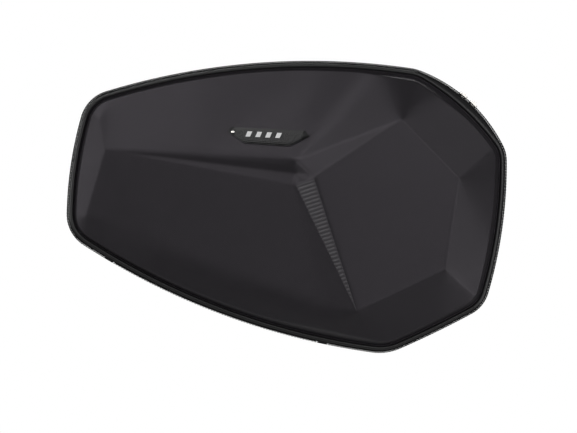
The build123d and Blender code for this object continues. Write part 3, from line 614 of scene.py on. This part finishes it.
# Edge rings (outset, out): the groove between the piping and the dome, and the lining's hem
LID_GROOVE = ((-8.2, 143.6), (-9.0, 142.9), (-9.7, 142.9), (-10.3, 143.8))
LINING_HEM = ((-14.0, 139.4), (-15.2, 139.2))

moulded_lid = moulded_skin("moulded_lid", LID_GROOVE, DOME_INSET, 0.0)
finish_piece(moulded_lid, SHELL, "lid", ["outer_shell"])
lid_lining = moulded_skin("lid_lining", LINING_HEM, DOME_INSET + SHELL_SIDE, SHELL_DROP)
lid_lining.data.flip_normals()
finish_piece(lid_lining, LINING, "lid", ["shell_lining"])


# ---- lid: ribbed step ------------------------------------------------------------------

# Ribs in mm: pitch, height, skin under them, distance between rows, ends left plain
RIB_PITCH = 4.8
RIB_LIFT = 0.5
RIB_BASE = 0.3
RIB_STEP = 0.6
RIB_END = 1.5
RIB_POINTS = 15
RIB_SINK = 0.1


def ribbed_step():
    """Ribbed skin over the narrow step between the two plateaus."""
    c, d, e = (np.array(POINTS[name]) for name in "CDE")
    length = np.linalg.norm(d - (c + e) / 2)
    rows = []
    flat = []
    for place in np.arange(RIB_END, length - RIB_END, RIB_STEP):
        first = c + (d - c) * place / length
        last = e + (d - e) * place / length
        share = np.linspace(0.02, 0.98, RIB_POINTS)[:, None]
        line = first + (last - first) * share
        fade = np.clip(np.sin(math.pi * share[:, 0]) * 2.2, 0, 1)
        wave = 0.5 - 0.5 * math.cos(math.tau * place / RIB_PITCH)
        lift = (RIB_BASE + RIB_LIFT * wave**0.7) * fade - RIB_SINK
        height = LID.height(line[:, 0], line[:, 1])
        rows.append(at_depth(line[:, :2], RIM_OUT + height + lift))
        flat.append(line[:, :2])
    made = flat_cloth(band("rib_rows", rows, closed=False), flat)
    made.data.flip_normals()
    return made


# The ribs get the painted highlight material, lighter than the shell around them.
finish_piece(ribbed_step(), RIB_PAINTED_HIGHLIGHT, "lid")


# ---- lid: piping, side band, tape and teeth --------------------------------------------


# Sides of the beads, and how uneven their thickness is, as a share
TUBE_SIDES = 12
TUBE_WOBBLE = 0.05


def tube(name, outset, radius, out, swollen):
    """Round bead along the outline, of slightly uneven thickness."""
    rows = []
    centre = outline(outset, swollen=swollen)
    puff = 1 + TUBE_WOBBLE * ripple(at_depth(centre, out), 0.006, 1.0, 3.0)
    for turn in np.linspace(0, math.tau, TUBE_SIDES + 1):
        ring = outline(outset + radius * math.cos(turn), swollen=swollen)
        ring = centre + (ring - centre) * puff[:, None]
        rows.append(at_depth(ring, out + radius * math.sin(turn) * puff))
    return band(name, rows)


piping = tube("lid_piping", -RIM_INSET - PIPING_R, PIPING_R, RIM_OUT, 0.0)
finish_piece(piping, PIPING, "lid", ["shell_piping"])


def wall_band(name, stops, seed, sag):
    """Soft band through (outset, out, swollen) stops, uneven by sag mm between them."""
    rows = []
    stops = np.array(stops, float)
    for place in np.linspace(0, len(stops) - 1, (len(stops) - 1) * 3 + 1):
        outset, out, swollen = (
            np.interp(place, range(len(stops)), stops[:, axis]) for axis in range(3)
        )
        ring = outline(outset, swollen=swollen)
        points = at_depth(ring, out)
        loose = math.sin(math.pi * place / (len(stops) - 1))
        uneven = ripple(points, 0.035, sag, seed) + ripple(points, 0.011, sag * 0.3, seed)
        outward = unit(outline(outset + 1, swollen=swollen) - ring)
        points[:, [0, 2]] += outward * (uneven * loose * MM)[:, None]
        rows.append(points)
    return band(name, rows)


lid_band = wall_band(
    "lid_side_band",
    [(-4.2, 141.6, 0.0), (-2.6, 139.5, 0.45), (-1.6, 136.0, 0.9), (-1.5, LID_START, 1.0)],
    5.0,
    0.3,
)
finish_piece(lid_band, WALL, "lid", ["lid_gusset"])


def open_band(name, outs):
    """Tape round the outline through the depths outs, left open along the hinge."""
    points = outline(0.0)
    points = points[run_of(~in_hinge_zone(at_depth(points, ZIP_OUT), HINGE_LENGTH))]
    rows = []
    for out in outs:
        row = at_depth(points, out)
        row[:, 1] += ripple(row, 0.02, 0.25 * MM, 9.0)
        rows.append(row)
    return band(name, rows, closed=False)


front_tape = open_band("front_zip_tape", [138.0, 137.4, 133.0, 128.0, 124.0, 123.4])
finish_piece(front_tape, TAPE_CLOTH, "lid", ["zip_tape_front"])
rear_tape = open_band("rear_zip_tape", [116.6, 116.0, 112.0, 107.0, 102.6, 102.0])
finish_piece(rear_tape, TAPE_CLOTH, "bag", ["zip_tape_rear"])

# Zip teeth in mm: along the zip, across it and high
TOOTH_PITCH = 2.2
TOOTH = (0.95, 4.6, 2.0)
TOOTH_OUTSET = -1.1


def teeth(name, out, phase):
    """One side's zip teeth, left out along the hinge."""
    places, tangent = along_outline(TOOTH_OUTSET, out, TOOTH_PITCH, phase=phase)
    keep = ~in_hinge_zone(places, HINGE_LENGTH + 2)
    places, tangent = places[keep], tangent[keep]
    across = np.broadcast_to([0.0, -1.0, 0.0], tangent.shape)
    return boxes(name, places, tangent, across, np.array(TOOTH) * MM)


finish_piece(teeth("front_teeth", 121.6, 0.0), ZIP, "lid", ["zip_coil_front"])
finish_piece(teeth("rear_teeth", 118.4, 0.5), ZIP, "bag", ["zip_coil_rear"])

# ---- body: side wall -------------------------------------------------------------------

side_wall = wall_band(
    "side_wall",
    [
        (-1.4, 112.0, 1.0), (-1.5, 103.0, 1.0), (-2.4, 100.5, 1.0), (-1.4, 98.0, 1.0),
        (-0.6, 85.0, 0.9), (-0.2, 65.0, 0.8), (-0.4, 45.0, 0.75), (-1.2, 28.0, 0.8),
        (-2.4, 25.5, 0.9), (-1.8, 23.0, 0.9), (-2.6, 16.0, 1.0),
    ],
    11.0,
    1.3,
)
finish_piece(side_wall, WALL, "bag", ["body_gusset"])

rear_piping = tube("rear_piping_cord", -3.7, 2.4, PANEL_OUT - 2.4, 1.0)
finish_piece(rear_piping, PIPING, "bag", ["rear_piping"])

# ---- fabric hinge ----------------------------------------------------------------------

HINGE_CLOTH = HINGE_LENGTH - 24
HINGE_OUTSET = -0.3


def hinge_cloth():
    """One strip of cloth from the body to the lid, under the closed edge."""
    points = outline(HINGE_OUTSET)
    order = run_of(in_hinge_zone(at_depth(points, ZIP_OUT), HINGE_CLOTH))
    rows = []
    for out in np.arange(103.6, 136.6, 1.0):
        loose = math.exp(-(((out - ZIP_OUT) / 7) ** 2))
        row = at_depth(outline(HINGE_OUTSET - 0.9 * loose)[order], out)
        row[:, 1] += ripple(row, 0.03, 0.3 * MM, 21.0)
        rows.append(row)
    return band("hinge_cloth", rows, closed=False)


hinge = finish_piece(
    hinge_cloth(), TAPE_CLOTH, None, ["hinge_strip_body", "hinge_strip_lid"]
)
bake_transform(hinge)

# ---- stitching -------------------------------------------------------------------------

# Stitches in mm: along the seam, across it and high
STITCH = (2.6, 0.7, 0.5)
STITCH_PITCH = 3.6


def stitches(name, body, rows):
    """Rows of stitches (outset, out, swollen) as one piece."""
    seams = [along_outline(outset, out, STITCH_PITCH, swollen) for outset, out, swollen in rows]
    centres, tangents = (np.concatenate(parts) for parts in zip(*seams, strict=True))
    across = np.broadcast_to([0.0, -1.0, 0.0], tangents.shape)
    made = boxes(name, centres, tangents, across, np.array(STITCH) * MM, 0.4)
    return finish_piece(made, THREAD, body)


stitches("lid_stitching", "lid", [(0.15, 136.4, 1.0), (-1.3, 138.6, 0.62)])
stitches(
    "body_stitching",
    "bag",
    [(0.15, 103.6, 1.0), (-1.3, 98.6, 1.0), (-1.4, 27.4, 0.83), (-1.7, 23.6, 0.9)],
)

# ---- back: padded panel ----------------------------------------------------------------

# Half sizes of the mount plate, and of the handle's foot round its height
PLATE_EDGE = (125.0, 75.0)
QUILT_LINES = [
    ((-275.0, 84.0), (275.0, 96.0)),
    ((-275.0, -84.0), (275.0, -96.0)),
    ((-134.0, 200.0), (-134.0, -200.0)),
    ((134.0, 200.0), (134.0, -200.0)),
]
PAD_RISE = 4.2
PAD_OUT = 10.0
PAD_START = 8.6
PAD_SPINE = np.array([(-140.0, 12.0), (120.0, -20.0)])
PAD_ROWS = 64
HANDLE_FOOT = (80.0, 15.0)
HANDLE_Z = 118.0


def line_distance(points, first, second):
    """Distance of each point (N, 2) from a line, in mm."""
    (x1, z1), (x2, z2) = first, second
    span = math.hypot(x2 - x1, z2 - z1)
    return abs((points[:, 0] - x1) * (z2 - z1) - (points[:, 1] - z1) * (x2 - x1)) / span


def pad_rise(points, inset):
    """How far the back panel's padding stands off its board, in mm."""
    plate = np.maximum(abs(points[:, 0]) - PLATE_EDGE[0], abs(points[:, 1]) - PLATE_EDGE[1])
    foot = np.maximum(
        abs(points[:, 0]) - HANDLE_FOOT[0], abs(points[:, 1] - HANDLE_Z) - HANDLE_FOOT[1]
    )
    nearest = np.minimum(inset, np.minimum(plate, foot))
    for first, second in QUILT_LINES:
        nearest = np.minimum(nearest, line_distance(points, first, second) * 1.2)
    return PAD_RISE * (1 - np.exp(-np.clip(nearest, 0, None) / 5.5))


def back_pad():
    """Quilted panel that closes the back, from its piping to its middle."""
    flat = [outline(-7.6), outline(-8.3)]
    rows = [at_depth(flat[0], 14.0), at_depth(flat[1], 11.5)]
    insets = np.concatenate([np.arange(0, 12, 1.2), np.arange(12, 31, 2.4)])
    for inset in insets:
        ring = outline(-PAD_START - inset)
        rows.append(at_depth(ring, PAD_OUT - pad_rise(ring, inset)))
        flat.append(ring)
    for points in closing_rows(ring, PAD_SPINE, PAD_ROWS):
        rows.append(at_depth(points, PAD_OUT - pad_rise(points, insets[-1])))
        flat.append(points)
    made = flat_cloth(band("back_pad", rows), flat)
    made.data.flip_normals()
    return made


pad = finish_piece(back_pad(), WALL, "bag", ["back_panel"])

# ---- CAD pieces that keep their shape --------------------------------------------------

KEPT = {
    LINING: ("gusset_lining",),
    TRIM: ("rim_seam_binding", "rear_seam_binding", "zip_end_tabs", "handle_webbing"),
    BADGE: ("badge_plate",),
    BADGE_FACE: ("badge_face",),
    PRINT: ("badge_bars",),
    NICKEL: ("badge_stud", "zip_slider_a", "zip_slider_b", "zip_pull_ring_a", "zip_pull_ring_b"),
    RUBBER: ("zip_pull_tab_a", "zip_pull_tab_b", "handle_grip"),
    BOARD: ("back_stiffener",),
    ALUMINIUM: ("mount_backer",),
    NYLON: (
        "mount_plate", "rack_hook_rear", "rack_hook_front", "latch_ears", "latch_claw",
        "handle_anchors",
    ),
    STEEL: (
        "mount_screws", "mount_washers", "mount_nuts", "hook_screws", "latch_screws",
        "latch_pin", "latch_spring", "handle_rivets",
    ),
}
for material, names in KEPT.items():
    for name in names:
        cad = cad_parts[name]
        cad.data.materials.clear()
        cad.data.materials.append(material)

# ---- camera, floor and light -----------------------------------------------------------

VIEW_WIDTH = 0.7097
VIEW_CENTRE = (-0.0018, -0.0326)
CAMERA_DISTANCE = 3.2

camera = bpy.data.objects.new("camera", bpy.data.cameras.new("camera"))
bpy.context.scene.collection.objects.link(camera)
camera.location = (VIEW_CENTRE[0], -RIM_OUT * MM - CAMERA_DISTANCE, VIEW_CENTRE[1])
camera.rotation_euler = (math.radians(90), 0, 0)
camera.data.sensor_width = 36
camera.data.lens = 36 * CAMERA_DISTANCE / VIEW_WIDTH
bpy.context.scene.camera = camera

FLOOR = -1.3
FLOOR_HALF = 10.0
LAMP_CENTRE = (0, -0.15, 0)
LAMP_DISTANCE = 2.2
LAMP_SIZE = 1.3
# Soft boxes: degrees round from +X, degrees up, watts
LAMPS = {
    "left": (195, 0, 15.0),
    "upper_left": (222, 50, 18.5),
    "front": (275, 5, 5.0),
    "upper_front": (275, 65, 2.5),
    "front_right": (300, 5, 14.0),
    "right": (350, 35, 6.5),
    "lower_right": (345, -30, 16.0),
    "rear": (90, 25, 34.0),
    "rear_left": (120, 10, 20.0),
}
for name, (turn, rise, power) in LAMPS.items():
    lamp = bpy.data.lights.new(name, "AREA")
    lamp.size = LAMP_SIZE
    lamp.energy = power
    made = bpy.data.objects.new(name, lamp)
    bpy.context.scene.collection.objects.link(made)
    turn, rise = math.radians(turn), math.radians(rise)
    aim = Vector(
        (math.cos(rise) * math.cos(turn), math.cos(rise) * math.sin(turn), math.sin(rise))
    )
    made.location = Vector(LAMP_CENTRE) + aim * LAMP_DISTANCE
    made.rotation_euler = aim.to_track_quat("Z", "Y").to_euler()

floor_mesh = bpy.data.meshes.new("floor")
floor_corners = [
    (FLOOR_HALF * x, FLOOR_HALF * y, FLOOR) for x, y in ((-1, -1), (1, -1), (1, 1), (-1, 1))
]
floor_mesh.from_pydata(floor_corners, [], [(0, 1, 2, 3)])
floor = bpy.data.objects.new("floor", floor_mesh)
bpy.context.scene.collection.objects.link(floor)
floor_material, floor_tree, floor_shader = base_material("floor", (0.3, 0.3, 0.3), 0.9)
floor_shader.inputs["Emission Color"].default_value = (1, 1, 1, 1)
floor_ray = floor_tree.nodes.new("ShaderNodeLightPath").outputs["Is Camera Ray"]
floor_glow = maths(floor_tree, "MULTIPLY", floor_ray, 0.8)
floor_tree.links.new(floor_glow, floor_shader.inputs["Emission Strength"])
floor_mesh.materials.append(floor_material)

world = bpy.data.worlds.new("studio")
bpy.context.scene.world = world
world.use_nodes = True
world_tree = world.node_tree
ambient = world_tree.nodes["Background"]
ambient.inputs["Color"].default_value = (1, 1, 1, 1)
ambient.inputs["Strength"].default_value = 0.004
white = node(world_tree, "ShaderNodeBackground", Color=(1, 1, 1, 1), Strength=1.0)
world_ray = world_tree.nodes.new("ShaderNodeLightPath").outputs["Is Camera Ray"]
choose = world_tree.nodes.new("ShaderNodeMixShader")
world_tree.links.new(world_ray, choose.inputs[0])
world_tree.links.new(ambient.outputs[0], choose.inputs[1])
world_tree.links.new(white.outputs[0], choose.inputs[2])
world_tree.links.new(choose.outputs[0], world_tree.nodes["World Output"].inputs["Surface"])
bpy.context.scene.view_settings.view_transform = "Standard"
